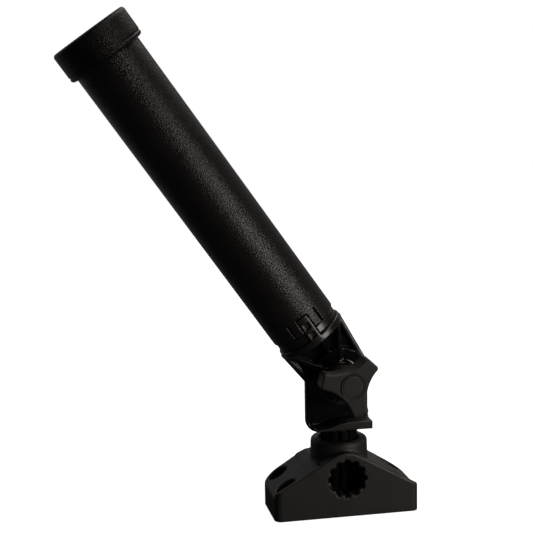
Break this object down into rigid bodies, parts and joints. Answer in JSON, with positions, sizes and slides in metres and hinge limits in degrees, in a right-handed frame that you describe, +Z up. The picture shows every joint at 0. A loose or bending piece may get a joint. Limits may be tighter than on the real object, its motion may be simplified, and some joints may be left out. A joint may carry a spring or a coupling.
{
  "type": "rod holder",
  "caption": "Tube fishing rod holder on a low deck mount: splined post, toothed tilting bracket with a three-lobed lock knob, and a leaning open tube with a soft rim.",
  "frame": {"origin": "on the axis of the mount's upright post socket, at the mount's bottom face, which sits on the deck", "axes": "+Z up along the post, X along the mount's length, -Y to the front where the knob is; at rest the tube leans towards -X in a plane parallel to XZ"},
  "size_m": [0.238, 0.0663, 0.3495],
  "materials": {
    "mount": "fine-grained black nylon moulding, satin",
    "bracket": "smooth black nylon moulding, glossy",
    "ring": "black rubber O-ring",
    "bolt": "stainless steel",
    "spring": "stainless spring wire",
    "washer": "black nylon washer",
    "adapter": "smooth black nylon moulding, glossy",
    "lock_ring": "smooth black nylon, satin",
    "tube": "pebble-grained black moulding",
    "rim": "pebble-grained soft black cap",
    "knob": "fine matte dark grey moulding",
    "nut": "turned brass insert",
    "knob_cap": "fine matte dark grey moulding"
  },
  "bodies": {
    "mount": {"mount_base": "mount"},
    "post_ring": {"post_ring": "ring"},
    "bracket": {"post_bracket": "bracket", "pivot_bolt": "bolt", "gear_spring": "spring"},
    "carrier": {"thrust_washer": "washer"},
    "tube": {"tube_adapter": "adapter", "tube_lock_ring": "lock_ring", "rod_tube": "tube", "tube_rim": "rim"},
    "knob": {"knob": "knob", "knob_nut": "nut", "knob_cap": "knob_cap"}
  },
  "joints": [
    {"name": "post_lift", "type": "slide", "parent": "mount", "child": "post_ring", "axis": [0, 0, 1], "range_m": [0, 0.046]},
    {"name": "post_swivel", "type": "hinge", "parent": "post_ring", "child": "bracket", "pos_m": [0, 0, 0], "axis": [0, 0, 1], "continuous": true},
    {"name": "gear_release", "type": "slide", "parent": "bracket", "child": "carrier", "axis": [0, -1, 0], "range_m": [0, 0.0038]},
    {"name": "tube_tilt", "type": "hinge", "parent": "carrier", "child": "tube", "pos_m": [0, 0, 0.0966], "axis": [0, 1, 0], "range_deg": [-60, 135]},
    {"name": "knob_turn", "type": "hinge", "parent": "carrier", "child": "knob", "pos_m": [0, 0, 0.0966], "axis": [0, -1, 0], "range_deg": [0, 1080]}
  ],
  "couplings": [
    {"joint": "knob_turn", "follows": "gear_release", "rad_per_m": 4947.4}
  ]
}
